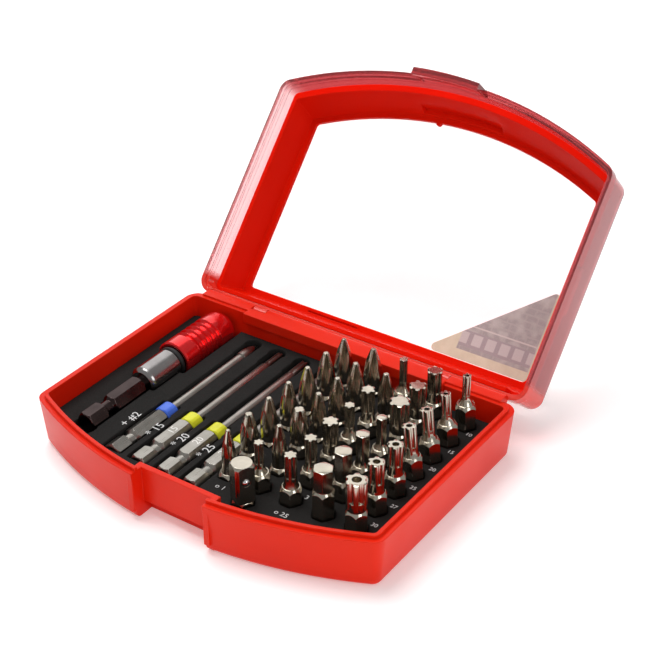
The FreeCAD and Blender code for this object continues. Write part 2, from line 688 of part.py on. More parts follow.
# ================================================================ long bits
def power_shank(hex_l, neck_at, neck_l, neck_r):
    """Hexagonal shank with a rounded detent groove."""
    corner = HEX_AF / math.sqrt(3) + 0.02
    slope = corner - neck_r
    envelope = turned([
        (corner - 0.7, 0),
        (corner, 0.7),
        (corner, neck_at - neck_l / 2 - 0.5 * slope),
        (neck_r, neck_at - neck_l / 2 + 0.5 * slope),
        (neck_r, neck_at + neck_l / 2 - 0.5 * slope),
        (corner, neck_at + neck_l / 2 + 0.5 * slope),
        (corner, hex_l - 0.8),
        (corner - 0.8, hex_l),
    ])
    return hex_prism(HEX_AF, 0, hex_l).common(envelope)


def long_bit(kind, size):
    """Long power bit: shank, band seat, round shaft and tip."""
    shank = power_shank(LONG_HEX_L, NECK_Y, NECK_L, NECK_R)
    tip_z = LONG_LENGTH - LONG_TIP_L
    shaft = turned([
        (LONG_SHAFT_R, LONG_HEX_L - 1),
        (LONG_SHAFT_R, tip_z - 2),
        (LOBE_ROOT * size / 2 if kind == "star" else LONG_TIP_R, tip_z),
    ])
    if kind == "star":
        tip = bevelled(star_prism(size, tip_z - 1, LONG_LENGTH), size / 2, LONG_LENGTH, 0.3)
    else:
        tip = cross_tip(LONG_TIP_R, 0.9, 6.0, LONG_LENGTH, True)
    return fuse_all([shank, shaft, tip])


def long_band():
    """Coloured sleeve behind the hexagon."""
    z0 = LONG_HEX_L + 0.05
    sleeve = turned([
        (BAND_R - 0.4, z0),
        (BAND_R, z0 + 0.4),
        (BAND_R, z0 + BAND_L - 0.6),
        (BAND_R - 0.6, z0 + BAND_L),
    ])
    facets = polygon_prism(regular_points(6, 1.08 * BAND_R, z0), BAND_L)
    bore = Part.makeCylinder(LONG_SHAFT_R + 0.01, BAND_L + 2, V(0, 0, z0 - 1))
    return sleeve.common(facets).cut(bore)


# ================================================================ bit holder
def holder_shank():
    """Hexagonal shank of the holder, running into its sleeve."""
    shank = power_shank(HOLDER_HEX_L, NECK_Y + 1.5, 4.0, NECK_R)
    stem = Part.makeCylinder(STEM_R, 10, V(0, 0, HOLDER_HEX_L - 1))
    return fuse_all([shank, stem])


def holder_sleeve():
    """Steel sleeve with its bit socket; the collar slides on the rear part."""
    body = turned([
        (SLEEVE_R - 1.2, SLEEVE_START),
        (SLEEVE_R - 0.5, SLEEVE_START + 0.5),
        (SLEEVE_R, SLEEVE_START + 1.4),
        (SLEEVE_R, RING_START - 0.7),
        (COLLAR_SEAT_R, RING_START - 0.2),
        (COLLAR_SEAT_R, SLEEVE_END),
    ])
    socket = hex_prism(SOCKET_AF, SLEEVE_END - SOCKET_DEPTH, SLEEVE_END + 1)
    magnet_start = SLEEVE_END - SOCKET_DEPTH - MAGNET_L
    magnet_hole = Part.makeCylinder(MAGNET_R + 0.02, MAGNET_L + 0.1, V(0, 0, magnet_start - 0.05))
    stem_hole = Part.makeCylinder(STEM_R + 0.01, 9.2, V(0, 0, SLEEVE_START - 1))
    return body.cut([socket, magnet_hole, stem_hole])


def holder_magnet():
    """Magnet at the bottom of the bit socket."""
    return Part.makeCylinder(MAGNET_R, MAGNET_L, V(0, 0, SLEEVE_END - SOCKET_DEPTH - MAGNET_L))


def holder_ring():
    """Black retaining ring between the sleeve and the collar."""
    z0 = RING_START
    ring = turned([
        (RING_R - 0.4, z0),
        (RING_R, z0 + 0.4),
        (RING_R, z0 + RING_L - 0.3),
        (RING_R - 0.3, z0 + RING_L),
    ])
    return ring.cut(Part.makeCylinder(COLLAR_SEAT_R + 0.02, RING_L + 2, V(0, 0, z0 - 1)))


def holder_collar():
    """Anodised collar with grip grooves; a wider bore at the front clears the retaining ring."""
    z0 = COLLAR_START
    z1 = COLLAR_START + COLLAR_L
    groove_count = 5
    groove_pitch = 2.6
    groove_d = 0.95
    profile = [(COLLAR_R - 0.5, z0), (COLLAR_R, z0 + 0.5), (COLLAR_R, z0 + 6.0)]
    for i in range(groove_count):
        g0 = z0 + 6.0 + i * groove_pitch
        bottom_r = COLLAR_R - groove_d
        profile += [(bottom_r, g0 + 0.5), (bottom_r, g0 + 1.4), (COLLAR_R, g0 + 1.9)]
    profile += [
        (COLLAR_R, z1 - 3.0),
        (COLLAR_R - 0.5, z1 - 1.6),
        (COLLAR_R - 1.3, z1 - 0.4),
        (COLLAR_R - 1.7, z1),
    ]
    bore = Part.makeCylinder(COLLAR_SEAT_R + COLLAR_RUNNING, COLLAR_L + 2, V(0, 0, z0 - 1))
    ring_room = Part.makeCylinder(RING_R + 0.1, COLLAR_TRAVEL + 1.4, V(0, 0, z0 - 1))
    return turned(profile).cut([bore, ring_room])


# ================================================================ foam insert
def channel(x, y0, y1, half_w, z0):
    """Cutter for an open slot along Y in the foam's top."""
    return box(x - half_w, x + half_w, y0, y1, z0, FOAM_Z + ABOVE)


def half_round_channel(x, y0, y1, radius, z0):
    """Cutter for an open slot with a round bottom whose centre line is at height z0."""
    round_part = Part.makeCylinder(radius, y1 - y0, V(x, y0, z0), Y_AXIS)
    return round_part.fuse(box(x - radius, x + radius, y0, y1, z0, FOAM_Z + ABOVE))


def recess_cuts():
    """Room for the back of the latch recess."""
    half_w = RECESS_HALF_W + 2.2
    wall_y = RECESS_FACE_Y + RECESS_WALL_T + 0.2
    return [
        box(-half_w, half_w, FRONT_Y, wall_y, 0, FOAM_Z + ABOVE),
        box(-half_w, half_w, FRONT_Y, wall_y + UNDERCUT_D, 0, UNDERCUT_Z + RECESS_WALL_T + 0.2),
    ]


def long_bit_cuts(x):
    """Slot for one long bit: shank, wider band and a rounded end at the tip."""
    shank_half = HEX_AF / math.sqrt(3) + SLOT_GAP
    band_y = LONG_HEX_Y + LONG_HEX_L
    tip_y = LONG_HEX_Y + LONG_LENGTH
    tip_r = 3.0
    floor_z = LONG_AXIS_Z - tip_r
    band_half = BAND_R + SLOT_GAP
    return [
        channel(x, LONG_HEX_Y - 0.5, band_y, shank_half, LONG_AXIS_Z - shank_half),
        channel(x, band_y - SLOT_GAP, band_y + BAND_L + 0.5, band_half, LONG_AXIS_Z - band_half),
        channel(x, band_y, tip_y - 1, LONG_SHAFT_R + SLOT_GAP, floor_z),
        channel(x, tip_y - LONG_TIP_L - 3, tip_y - 1, LONG_TIP_R + SLOT_GAP, floor_z),
        Part.makeCylinder(tip_r, FOAM_Z + ABOVE, V(x, tip_y - 2, floor_z)),
    ]


def holder_cuts():
    """Slot for the bit holder: finger room at the shank end, shank, sleeve and collar."""
    x = HOLDER_X
    z = HOLDER_AXIS_Z
    shank_half = HEX_AF / math.sqrt(3) + SLOT_GAP
    start = HOLDER_HEX_Y
    shank_floor = z - HEX_AF / 2 - 0.5
    return [
        Part.makeCylinder(4.3, FOAM_Z + ABOVE, V(x, start - 0.5, shank_floor)),
        channel(x, start - 3, start + SLEEVE_START + 0.5, shank_half, shank_floor),
        half_round_channel(x, start + SLEEVE_START - 0.5, start + RING_START - 1, SLEEVE_R + SLOT_GAP, z),
        half_round_channel(
            x, start + COLLAR_START - COLLAR_TRAVEL - 1.6, start + COLLAR_START + COLLAR_L + 3,
            COLLAR_R + SLOT_GAP, z,
        ),
    ]


def foam_insert():
    """Black foam block with a slot or a hole for every tool; the short bits stand in through holes."""
    low = FLOOR_T + 0.05
    top_inset = WALL_T + INNER_DRAFT / 2 + FOAM_GAP
    back_inset = BACK_WALL_T + INNER_DRAFT / 2 + FOAM_GAP
    half_draft = INNER_DRAFT / 2
    block = slab(
        outline(low, top_inset + half_draft, back=back_inset + half_draft),
        outline(FOAM_Z, top_inset, back=back_inset),
    )
    cuts = recess_cuts() + holder_cuts()
    for x in LONG_X:
        cuts += long_bit_cuts(x)
    hole = hex_prism(HEX_AF + 2 * SLOT_GAP, -2, FOAM_Z + ABOVE)
    for column in range(len(COLUMN_X)):
        for row in range(ROW_COUNT):
            cuts.append(stood(hole, column, row, 0))
    cuts.append(placed(hole, COLUMN_X[1], ADAPTER_Y, 0))
    return block.cut(cuts).removeSplitter()


# ================================================================ build
def main():
    os.makedirs("parts", exist_ok=True)
    export(base_tray(), "base_tray")
    export(hinge_pin(KNUCKLE_LEFT), "hinge_pin_left")
    export(hinge_pin(KNUCKLE_RIGHT), "hinge_pin_right")
    export(foam_insert(), "foam_insert")
    export(opened(lid_shell()), "lid_shell")
    export(opened(lid_frame()), "lid_frame")
    export(opened(label_sticker()), "label_sticker")
    for kind, column, row, solid in short_bits():
        letter = "abcde"[column]
        export(stood_bit(solid, column, row), "bit_%s%d_%s" % (letter, row + 1, kind))
    foot = (COLUMN_X[1], ADAPTER_Y, ADAPTER_TOP_Z - ADAPTER_LENGTH)
    export(placed(square_adapter(), *foot), "bit_b0_square")
    export(placed(adapter_ball(), *foot), "bit_b0_ball")
    long_kinds = (("cross", 0), ("star", 3.35), ("star", 3.95), ("star", 4.5))
    for i, (kind, size) in enumerate(long_kinds):
        place = (LONG_X[i], LONG_HEX_Y, LONG_AXIS_Z)
        bit = long_bit(kind, size)
        bit.rotate(V(0, 0, 0), Z_AXIS, LONG_TURN_DEG[i])
        export(laid_along_y(bit, *place), "long_bit_%d_%s" % (i + 1, kind))
        export(laid_along_y(long_band(), *place), "long_bit_%d_band" % (i + 1))
    holder = (
        ("holder_shank", holder_shank), ("holder_sleeve", holder_sleeve), ("holder_magnet", holder_magnet),
        ("holder_ring", holder_ring), ("holder_collar", holder_collar),
    )
    for node, maker in holder:
        export(laid_along_y(maker(), HOLDER_X, HOLDER_HEX_Y, HOLDER_AXIS_Z), node)


main()
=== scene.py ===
"""Looks of the hinged screwdriver-bit case: materials, printed sizes, sticker, studio and camera.

Metres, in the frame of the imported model: +X along the hinge, +Y towards the hinge, +Z up.
"""

import json
import math

import bmesh
import bpy
from mathutils import Matrix, Vector


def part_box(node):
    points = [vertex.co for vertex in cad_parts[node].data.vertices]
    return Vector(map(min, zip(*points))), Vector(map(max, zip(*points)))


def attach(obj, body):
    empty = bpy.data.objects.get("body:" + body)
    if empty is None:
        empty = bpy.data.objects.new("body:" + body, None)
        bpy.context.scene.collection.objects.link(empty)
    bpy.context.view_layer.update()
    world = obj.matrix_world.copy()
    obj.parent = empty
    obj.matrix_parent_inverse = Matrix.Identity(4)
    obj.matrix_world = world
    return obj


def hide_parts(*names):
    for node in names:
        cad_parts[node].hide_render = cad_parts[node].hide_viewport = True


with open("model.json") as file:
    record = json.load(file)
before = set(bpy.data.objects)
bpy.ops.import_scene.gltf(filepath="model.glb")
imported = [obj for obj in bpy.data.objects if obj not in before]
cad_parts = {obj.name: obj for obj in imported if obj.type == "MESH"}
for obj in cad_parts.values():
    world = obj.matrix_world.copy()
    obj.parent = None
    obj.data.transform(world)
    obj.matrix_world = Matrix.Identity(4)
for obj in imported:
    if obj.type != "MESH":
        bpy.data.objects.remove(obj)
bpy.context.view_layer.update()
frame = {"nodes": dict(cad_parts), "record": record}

MM = 0.001

# ---------------------------------------------------------------- camera
CAMERA_AZIMUTH = math.radians(34.76)
CAMERA_ELEVATION = math.radians(31.55)
CAMERA_ROLL = math.radians(-0.33)
CAMERA_DISTANCE = 0.4603
CAMERA_TARGET = Vector((0.02248, 0.00186, 0.05631))
CAMERA_LENS = 86.74
SENSOR_WIDTH = 36.0
CLIP_START = 0.01

# ---------------------------------------------------------------- shading
SMOOTH_ANGLE = math.radians(28)
WELD_DISTANCE = 0.002 * MM
METAL_GRAIN = 0.0015 * MM      # depth of the streaks in metal
METAL_EDGE = 0.14 * MM         # radii of the rounded edges
SMALL_EDGE = 0.20 * MM
FRAME_EDGE = 0.35 * MM
TRAY_EDGE = 0.45 * MM

# ---------------------------------------------------------------- hinge and clear lid
HINGE_Y = 48.2 * MM
HINGE_Z = 17.35 * MM
LID_OPEN_DEG = 131.9
SHELL_WALL_TOP = 36.4 * MM     # with the lid shut, where the shell's walls turn into its window
SHELL_WALL_FADE = 0.8 * MM
RIGHT_FADE = (55 * MM, 62 * MM)       # x over which the tint of the right wall comes in
FRONT_FADE = (-34 * MM, -30 * MM)     # y over which the tint of the front wall goes out
BACK_FADE = (39 * MM, 42 * MM)        # y over which the tint of the back wall comes in
HAZE_LEFT = 0.10               # share of the light that the shell's walls scatter in their painted tint
HAZE_OUTER = 0.22
HAZE_BACK = 0.75
# painted reflection: wall tints that stand in for the red frame and tray seen through the clear walls,
# light pink on the left, deep pink on the right and front, red at the back
PINK_LEFT = (0.92, 0.66, 0.67)
PINK_OUTER = (0.56, 0.10, 0.11)
RED_BACK = (0.80, 0.05, 0.03)
ABSORPTION = 140.0             # of the clear plastic, per metre

# ---------------------------------------------------------------- sticker, with the lid shut
PRINT_X = (27.5 * MM, 54.8 * MM)      # the mauve field; the rest is margin
PRINT_Y = (0.0, 35.2 * MM)
BLOCKS_Y = (28.2 * MM, 33.8 * MM)     # row of the larger blocks
LINE_Y = (26.2 * MM, 26.7 * MM)
SMALL_BLOCK = (4.3 * MM, 2.4 * MM, 0.3 * MM)      # width, height, gap
LARGE_BLOCK = (5.2 * MM, 5.6 * MM, 0.9 * MM)

# ---------------------------------------------------------------- printed and engraved sizes
FOAM_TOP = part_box("foam_insert")[1].z
PRINT_Z = FOAM_TOP + 0.08 * MM
INK_T = 0.03 * MM
ALONG = math.radians(90)       # lettering that reads towards the hinge
ROW_LABEL_X = 54.9 * MM
ROW_LABEL_H = 2.2 * MM
ROW_LABELS = (                 # text, y in mm, from the back row to the front one
    ("10", 33.8),
    ("15", 22.7),
    ("20", 11.9),
    ("25", 0.8),
    ("27", -10.0),
    ("30", -20.4),
)
FRONT_LABEL_H = 2.6 * MM
FRONT_LABELS = (("o 1", 7.0, -31.2), ("o 25", 29.6, -31.4), ("3", 31.3, -20.8))    # text, x, y in mm
LONG_KINDS = ("cross", "star", "star", "star")
LONG_LABELS = ("+ #2", "* 15", "* 20", "* 25")
LONG_LABEL_H = 4.2 * MM
LONG_LABEL_BESIDE = 5.5 * MM   # to the left of the bit's middle
LONG_LABEL_Y = 15.5 * MM       # from the bit's hexagonal end
LONG_MARKS = ((1, "15"), (2, "20"), (3, "25"))
LONG_MARK_H = 3.6 * MM
LONG_MARK_Y = 17.5 * MM

# ---------------------------------------------------------------- foam surface
FOAM_GRID = 0.4 * MM
FOAM_CELL = 1.6 * MM
FOAM_UNEVEN = 0.10 * MM        # height between its hills and hollows

# ---------------------------------------------------------------- light
FLOOR_HALF = 4.0
FLOOR_DROP = 0.05 * MM
SKY_STRENGTH = 0.42
FLOOR_GLOW = 0.21
LAMP_AIM = Vector((0.0, 0.0, 0.03))
LAMPS = (                      # name, place, size in metres, watts
    ("key", (-0.30, 0.05, 0.95), 0.60, 6.6),
    ("back", (-0.55, 0.80, 0.60), 0.90, 2.8),
    ("front", (1.10, -0.35, 0.62), 0.60, 3.6),
)


# ================================================================ material building
class Look:
    """A material under construction, with noise in the object's own coordinates."""

    def __init__(self, name):
        self.material = bpy.data.materials.new(name)
        self.material.use_nodes = True
        self.tree = self.material.node_tree
        self.shader = self.tree.nodes["Principled BSDF"]
        self.coords = self.node("ShaderNodeTexCoord").outputs["Object"]

    def node(self, kind, **settings):
        """New node with its properties set."""
        made = self.tree.nodes.new(kind)
        for key, value in settings.items():
            setattr(made, key, value)
        return made

    def link(self, source, target):
        self.tree.links.new(source, target)

    def put(self, **values):
        """Constants on the main shader, named with underscores for spaces."""
        for key, value in values.items():
            self.shader.inputs[key.replace("_", " ")].default_value = value

    def stretched(self, scale):
        """The object's coordinates, scaled per axis."""
        mapping = self.node("ShaderNodeMapping")
        mapping.inputs["Scale"].default_value = scale
        self.link(self.coords, mapping.inputs["Vector"])
        return mapping.outputs["Vector"]

    def noise(self, per_metre, detail=2.0, coords=None):
        """Noise value with about so many features per metre."""
        made = self.node("ShaderNodeTexNoise")
        made.inputs["Scale"].default_value = per_metre
        made.inputs["Detail"].default_value = detail
        self.link(coords or self.coords, made.inputs["Vector"])
        return made.outputs["Fac"]

    def grains(self, per_metre):
        """Distance from the nearest of about so many scattered points per metre."""
        made = self.node("ShaderNodeTexVoronoi")
        made.inputs["Scale"].default_value = per_metre
        self.link(self.coords, made.inputs["Vector"])
        return made.outputs["Distance"]

    def spread(self, source, low, high, start=0.3, end=0.7):
        """Value mapped from start..end to low..high."""
        made = self.node("ShaderNodeMapRange")
        for key, value in (("From Min", start), ("From Max", end), ("To Min", low), ("To Max", high)):
            made.inputs[key].default_value = value
        self.link(source, made.inputs["Value"])
        return made.outputs["Result"]

    def blend(self, share, first, second):
        """Colour between two, each a colour or a socket."""
        made = self.node("ShaderNodeMix", data_type="RGBA")
        self.feed(made.inputs["Factor"], share)
        self.feed(made.inputs[6], first)
        self.feed(made.inputs[7], second)
        return made.outputs[2]

    def feed(self, target, value):
        """Link or constant on a socket."""
        if isinstance(value, bpy.types.NodeSocket):
            self.link(value, target)
        elif isinstance(value, tuple) and len(value) == 3:
            target.default_value = (*value, 1.0)
        else:
            target.default_value = value

    def maths(self, operation, first, second=0.0):
        """One step of arithmetic."""
        made = self.node("ShaderNodeMath", operation=operation)
        self.feed(made.inputs[0], first)
        self.feed(made.inputs[1], second)
        return made.outputs[0]

    def shut_place(self):
        """The object's coordinates, turned back from the open lid to the shut one."""
        turn = math.radians(LID_OPEN_DEG)
        hinge = Vector((0.0, HINGE_Y, HINGE_Z))
        mapping = self.node("ShaderNodeMapping")
        mapping.inputs["Rotation"].default_value = (turn, 0.0, 0.0)
        mapping.inputs["Location"].default_value = hinge - Matrix.Rotation(turn, 3, "X") @ hinge
        self.link(self.coords, mapping.inputs["Vector"])
        return mapping.outputs["Vector"]

    def shut_axes(self):
        """The same as three separate values."""
        axes = self.node("ShaderNodeSeparateXYZ")
        self.link(self.shut_place(), axes.inputs[0])
        return axes.outputs["X"], axes.outputs["Y"], axes.outputs["Z"]

    def rounding(self, radius):
        """Shading normal with its edges rounded."""
        made = self.node("ShaderNodeBevel", samples=4)
        made.inputs["Radius"].default_value = radius
        return made.outputs["Normal"]

    def edges(self, rounded_normal):
        """1 along sharp edges and 0 on flat areas."""
        geometry = self.node("ShaderNodeNewGeometry")
        dot = self.node("ShaderNodeVectorMath", operation="DOT_PRODUCT")
        self.link(rounded_normal, dot.inputs[0])
        self.link(geometry.outputs["Normal"], dot.inputs[1])
        return self.spread(dot.outputs["Value"], 1.0, 0.0, 0.75, 0.99)

    def bump(self, height, depth, strength=1.0, normal=None):
        """Bump from a height value, depth in metres."""
        made = self.node("ShaderNodeBump")
        made.inputs["Strength"].default_value = strength
        made.inputs["Distance"].default_value = depth
        self.link(height, made.inputs["Height"])
        if normal is not None:
            self.link(normal, made.inputs["Normal"])
        return made.outputs["Normal"]


def red_plastic(name, deep, light, edge_radius, gloss):
    """Glossy moulded red plastic, with a painted highlight that lightens its rounded edges."""
    look = Look(name)
    normal = look.rounding(edge_radius)
    base = look.blend(look.spread(look.noise(22, 3), 0.0, 1.0), deep, light)
    # painted highlight: the colour is lightened towards pale red along the rounded edges
    colour = look.blend(look.maths("MULTIPLY", look.edges(normal), 0.35), base, (0.98, 0.055, 0.025))
    look.link(colour, look.shader.inputs["Base Color"])
    look.link(look.spread(look.noise(60, 3), 0.30, 0.38), look.shader.inputs["Roughness"])
    look.link(look.bump(look.noise(5200, 2), 0.006 * MM, 0.25, normal), look.shader.inputs["Normal"])
    look.put(Subsurface_Weight=0.12, Subsurface_Scale=0.0012, IOR=1.45, Specular_IOR_Level=gloss)
    look.shader.inputs["Specular Tint"].default_value = (1.0, 0.55, 0.45, 1.0)
    look.shader.inputs["Subsurface Radius"].default_value = (1.0, 0.10, 0.05)
    return look.material


def clear_plastic():
    """Clear lid plastic: a plain window, and walls painted pink and red to stand in for the red frame and
    tray seen through them; lamps shine through it.
    """
    look = Look("clear_plastic")
    normal = look.rounding(FRAME_EDGE)
    x, y, z = look.shut_axes()
    wall = look.spread(z, 1.0, 0.0, SHELL_WALL_TOP, SHELL_WALL_TOP + SHELL_WALL_FADE)
    right = look.spread(x, 0.0, 1.0, *RIGHT_FADE)
    front = look.spread(y, 1.0, 0.0, *FRONT_FADE)
    back = look.spread(y, 0.0, 1.0, *BACK_FADE)
    plain = look.blend(look.spread(look.noise(30, 2), 0.0, 1.0), (1.0, 0.96, 0.96), (1.0, 0.98, 0.98))
    outer = look.maths("MAXIMUM", right, front)
    # painted reflection: the walls take on the pink and red of the red parts seen through them
    tint = look.blend(outer, PINK_LEFT, PINK_OUTER)
    tint = look.blend(back, tint, RED_BACK)
    sides = look.spread(outer, HAZE_LEFT, HAZE_OUTER, 0.0, 1.0)
    haze = look.maths("MAXIMUM", sides, look.maths("MULTIPLY", back, HAZE_BACK))
    through = look.maths("SUBTRACT", 1.0, look.maths("MULTIPLY", wall, haze))
    look.link(through, look.shader.inputs["Transmission Weight"])
    look.link(look.blend(wall, plain, tint), look.shader.inputs["Base Color"])
    look.link(look.spread(look.noise(240, 4), 0.02, 0.08), look.shader.inputs["Roughness"])
    look.link(look.bump(look.noise(420, 3), 0.015 * MM, 0.2, normal), look.shader.inputs["Normal"])
    look.put(IOR=1.42)
    passing = look.node("ShaderNodeBsdfTransparent")
    passing.inputs["Color"].default_value = (0.96, 0.90, 0.90, 1.0)
    rays = look.node("ShaderNodeLightPath")
    mix = look.node("ShaderNodeMixShader")
    look.link(rays.outputs["Is Shadow Ray"], mix.inputs["Fac"])
    look.link(look.shader.outputs["BSDF"], mix.inputs[1])
    look.link(passing.outputs["BSDF"], mix.inputs[2])
    leave = look.tree.nodes["Material Output"]
    look.link(mix.outputs["Shader"], leave.inputs["Surface"])
    depth = look.node("ShaderNodeVolumeAbsorption")
    depth.inputs["Color"].default_value = (1.0, 0.62, 0.62, 1.0)
    depth.inputs["Density"].default_value = ABSORPTION
    look.link(depth.outputs["Volume"], leave.inputs["Volume"])
    return look.material


def foam():
    """Fine-celled black foam with a few pale specks of dust."""
    look = Look("foam")
    cells = look.grains(2600)
    speck = look.spread(look.grains(210), 1.0, 0.0, 0.028, 0.045)
    chosen = look.spread(look.noise(95, 2), 0.0, 1.0, 0.57, 0.61)
    shade = look.spread(look.noise(90, 4), 0.0, 1.0)
    patches = look.blend(shade, (0.012, 0.011, 0.0105), (0.018, 0.017, 0.016))
    grain = look.spread(cells, 0.0, 0.6, 0.0, 0.7)
    grained = look.blend(grain, patches, (0.025, 0.024, 0.023))
    colour = look.blend(look.maths("MULTIPLY", speck, chosen), grained, (0.38, 0.36, 0.34))
    look.link(colour, look.shader.inputs["Base Color"])
    height = look.maths("ADD", cells, look.noise(900, 3))
    look.link(look.bump(height, 0.10 * MM, 0.7), look.shader.inputs["Normal"])
    look.put(Roughness=0.95, Specular_IOR_Level=0.12)
    return look.material


def metal(name, dark, light, rough, streaks=(300, 300, 60), edge_highlight_gain=1.3):
    """Metal with faint drawn streaks, slightly uneven polish and a painted highlight that brightens its
    edges.
    """
    look = Look(name)
    normal = look.rounding(METAL_EDGE)
    drawn = look.noise(1.0, 3, look.stretched(streaks))
    base = look.blend(look.spread(look.noise(180, 2), 0.0, 1.0), dark, light)
    # painted highlight: the edges get a brighter copy of the light colour
    edge_highlight = tuple(min(1.0, edge_highlight_gain * c) for c in light)
    colour = look.blend(look.maths("MULTIPLY", look.edges(normal), 0.6), base, edge_highlight)
    look.link(colour, look.shader.inputs["Base Color"])
    look.link(look.spread(drawn, *rough), look.shader.inputs["Roughness"])
    look.link(look.bump(drawn, METAL_GRAIN, 0.5, normal), look.shader.inputs["Normal"])
    look.put(Metallic=1.0)
    return look.material


def anodised_red():
    """Deep red anodised aluminium under a clear gloss, with a painted highlight along its edges."""
    look = Look("anodised_red")
    normal = look.rounding(SMALL_EDGE)
    turned = look.noise(1.0, 2, look.stretched((60, 2400, 60)))
    base = look.blend(look.spread(look.noise(120, 2), 0.0, 1.0), (0.78, 0.010, 0.012), (0.88, 0.018, 0.020))
    # painted highlight: the colour is lightened towards pale red along the rounded edges
    colour = look.blend(look.maths("MULTIPLY", look.edges(normal), 0.5), base, (0.95, 0.16, 0.15))
    look.link(colour, look.shader.inputs["Base Color"])
    look.link(look.spread(turned, 0.17, 0.24), look.shader.inputs["Roughness"])
    look.link(look.bump(turned, 0.001 * MM, 0.3, normal), look.shader.inputs["Normal"])
    look.put(Metallic=0.8, Coat_Weight=0.4, Coat_Roughness=0.10)
    return look.material


def plastic(name, deep, light, rough=(0.35, 0.5)):
    """Small coloured plastic or rubber piece."""
    look = Look(name)
    normal = look.rounding(SMALL_EDGE)
    base = look.blend(look.spread(look.noise(350, 3), 0.0, 1.0), deep, light)
    look.link(base, look.shader.inputs["Base Color"])
    look.link(look.spread(look.noise(700, 3), *rough), look.shader.inputs["Roughness"])
    look.link(look.bump(look.noise(3000, 2), 0.01 * MM, 0.4, normal), look.shader.inputs["Normal"])
    return look.material


def print_ink(name, colour):
    """Thin, slightly worn printing ink."""
    look = Look(name)
    faded = tuple(0.65 * c for c in colour)
    ink = look.blend(look.spread(look.noise(2600, 3), 0.0, 1.0), faded, colour)
    look.link(ink, look.shader.inputs["Base Color"])
    look.link(look.spread(look.noise(2000, 2), 0.6, 0.8), look.shader.inputs["Roughness"])
    return look.material


def sticker_film():
    """Printed film: beige margins, and a mauve field with small blocks, a line and larger pale blocks."""
    look = Look("sticker_film")
    laid_flat = look.shut_place()
    x, y = look.shut_axes()[:2]

    def blocks(width, height, gap):
        made = look.node("ShaderNodeTexBrick", offset=0.37, offset_frequency=2)
        sizes = (("Scale", 1.0), ("Mortar Size", gap), ("Brick Width", width), ("Row Height", height))
        for key, value in sizes:
            made.inputs[key].default_value = value
        look.link(laid_flat, made.inputs["Vector"])
        return made.outputs["Fac"]

    def within(value, low, high):
        above = look.maths("GREATER_THAN", value, low)
        below = look.maths("LESS_THAN", value, high)
        return look.maths("MULTIPLY", above, below)

    tone = look.spread(look.noise(260, 1), 0.0, 1.0, 0.40, 0.60)
    field = look.blend(tone, (0.30, 0.33, 0.32), (0.41, 0.46, 0.44))
    gaps = look.maths("MULTIPLY", blocks(*SMALL_BLOCK), 0.5)
    field = look.blend(gaps, field, (0.38, 0.42, 0.40))
    pale = look.blend(blocks(*LARGE_BLOCK), (0.47, 0.51, 0.50), (0.31, 0.32, 0.33))
    field = look.blend(within(y, *BLOCKS_Y), field, pale)
    field = look.blend(within(y, *LINE_Y), field, (0.52, 0.56, 0.53))
    beige = look.blend(look.spread(look.noise(300, 3), 0.0, 1.0), (0.53, 0.58, 0.42), (0.60, 0.66, 0.50))
    inside = look.maths("MULTIPLY", within(y, *PRINT_Y), within(x, *PRINT_X))
    look.link(look.blend(inside, beige, field), look.shader.inputs["Base Color"])
    look.link(look.spread(look.noise(500, 2), 0.35, 0.5), look.shader.inputs["Roughness"])
    return look.material


# ================================================================ shading of the CAD pieces
def smoothing_group():
    """Geometry nodes that weld the facets and smooth them up to an angle."""
    group = bpy.data.node_groups.new("smooth_by_angle", "GeometryNodeTree")
    group.interface.new_socket("Geometry", in_out="INPUT", socket_type="NodeSocketGeometry")
    group.interface.new_socket("Geometry", in_out="OUTPUT", socket_type="NodeSocketGeometry")
    entry = group.nodes.new("NodeGroupInput")
    bare = group.nodes.new("GeometryNodeRemoveAttribute")
    bare.inputs["Name"].default_value = "custom_normal"
    weld = group.nodes.new("GeometryNodeMergeByDistance")
    weld.inputs["Distance"].default_value = WELD_DISTANCE
    faces = group.nodes.new("GeometryNodeSetShadeSmooth")
    faces.domain = "FACE"
    creases = group.nodes.new("GeometryNodeSetShadeSmooth")
    creases.domain = "EDGE"
    creases.inputs["Shade Smooth"].default_value = False
    angle = group.nodes.new("GeometryNodeInputMeshEdgeAngle")
    sharp = group.nodes.new("FunctionNodeCompare")
    sharp.data_type = "FLOAT"
    sharp.operation = "GREATER_THAN"
    sharp.inputs[1].default_value = SMOOTH_ANGLE
    leave = group.nodes.new("NodeGroupOutput")
    group.links.new(entry.outputs[0], bare.inputs["Geometry"])
    group.links.new(bare.outputs["Geometry"], weld.inputs["Geometry"])
    group.links.new(weld.outputs["Geometry"], faces.inputs["Geometry"])
    group.links.new(faces.outputs["Geometry"], creases.inputs["Geometry"])
    group.links.new(angle.outputs["Unsigned Angle"], sharp.inputs[0])
    group.links.new(sharp.outputs["Result"], creases.inputs["Selection"])
    group.links.new(creases.outputs["Geometry"], leave.inputs[0])
    return group


def dress():
    """Give every CAD node its material and smooth shading."""
    group = smoothing_group()
    slots = {part["node"]: part["material_slot"] for part in frame["record"]["subparts"]}
    for node, piece in frame["nodes"].items():
        piece.data.materials.clear()
        piece.data.materials.append(MATERIALS[slots[node]])
        modifier = piece.modifiers.new("smooth", "NODES")
        modifier.node_group = group


